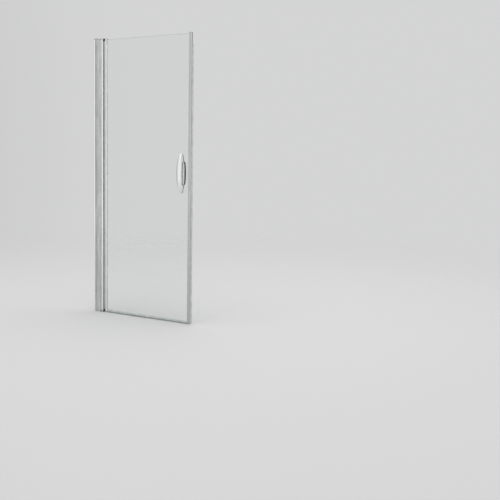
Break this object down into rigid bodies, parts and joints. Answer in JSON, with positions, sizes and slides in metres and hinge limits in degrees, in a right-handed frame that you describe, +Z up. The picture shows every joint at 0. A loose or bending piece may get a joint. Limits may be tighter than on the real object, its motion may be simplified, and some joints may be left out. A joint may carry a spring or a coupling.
{
  "type": "bath screen",
  "caption": "Pivoting single-panel bath screen: telescopic wall column, clear glass pane, edge profile with bumper lip, bottom seal and a bow handle with an inner grip.",
  "frame": {"origin": "on the wall, in the middle plane of the glass, at the lower end of the wall profile, which stands on the bath rim", "axes": "+X from the wall out along the glass, +Y towards the bath, +Z up"},
  "size_m": [0.67, 0.0673, 1.5],
  "materials": {
    "polished_aluminium": "bright-polished and anodised extrusion",
    "dark_cap": "fine-grained dark grey moulding",
    "grey_cap": "silver-grey moulding",
    "steel": "stainless steel",
    "acetal": "black machined bearing plastic",
    "dark_rubber": "soft matt grey-black",
    "grey_gasket": "grey elastomer",
    "clear_glass": "clear toughened glass with ground edges",
    "clear_seal": "smoky translucent push-on seal",
    "lip_rubber": "pale grey soft lip",
    "chrome": "chromed zinc casting",
    "black_grip": "satin black grip"
  },
  "bodies": {
    "wall": {"wall_profile": "polished_aluminium", "wall_top_cap": "dark_cap", "wall_foot_plug": "dark_cap", "adjusting_screws": "steel", "clamp_plates": "steel", "screw_covers": "grey_cap"},
    "post": {"pivot_post": "polished_aluminium", "post_top_cap": "grey_cap", "post_bottom_cap": "dark_cap", "post_cap_screws": "steel", "top_pivot_block": "acetal", "bottom_pivot_block": "acetal", "pivot_pins": "steel", "block_screws": "steel", "post_gasket": "grey_gasket"},
    "panel": {"hinge_profile": "polished_aluminium", "hinge_sleeve": "grey_gasket", "pivot_bushes": "acetal", "hinge_glazing_gasket": "grey_gasket", "hinge_end_caps": "grey_cap", "glass_panel": "clear_glass", "bottom_seal": "clear_seal", "edge_profile": "polished_aluminium", "edge_glazing_gasket": "grey_gasket", "edge_end_caps": "grey_cap", "edge_lip": "lip_rubber", "handle_front": "chrome", "front_pads": "dark_rubber", "glass_bushes": "grey_gasket", "back_gasket": "grey_gasket", "handle_backplate": "chrome", "inner_grip": "black_grip", "handle_screws": "chrome"}
  },
  "joints": [
    {"name": "adjust_slide", "type": "slide", "parent": "wall", "child": "post", "axis": [1, 0, 0], "range_m": [-0.01, 0.01]},
    {"name": "panel_pivot", "type": "hinge", "parent": "post", "child": "panel", "pos_m": [0.0736, 0, 0], "axis": [0, 0, 1], "range_deg": [-90, 90]}
  ]
}
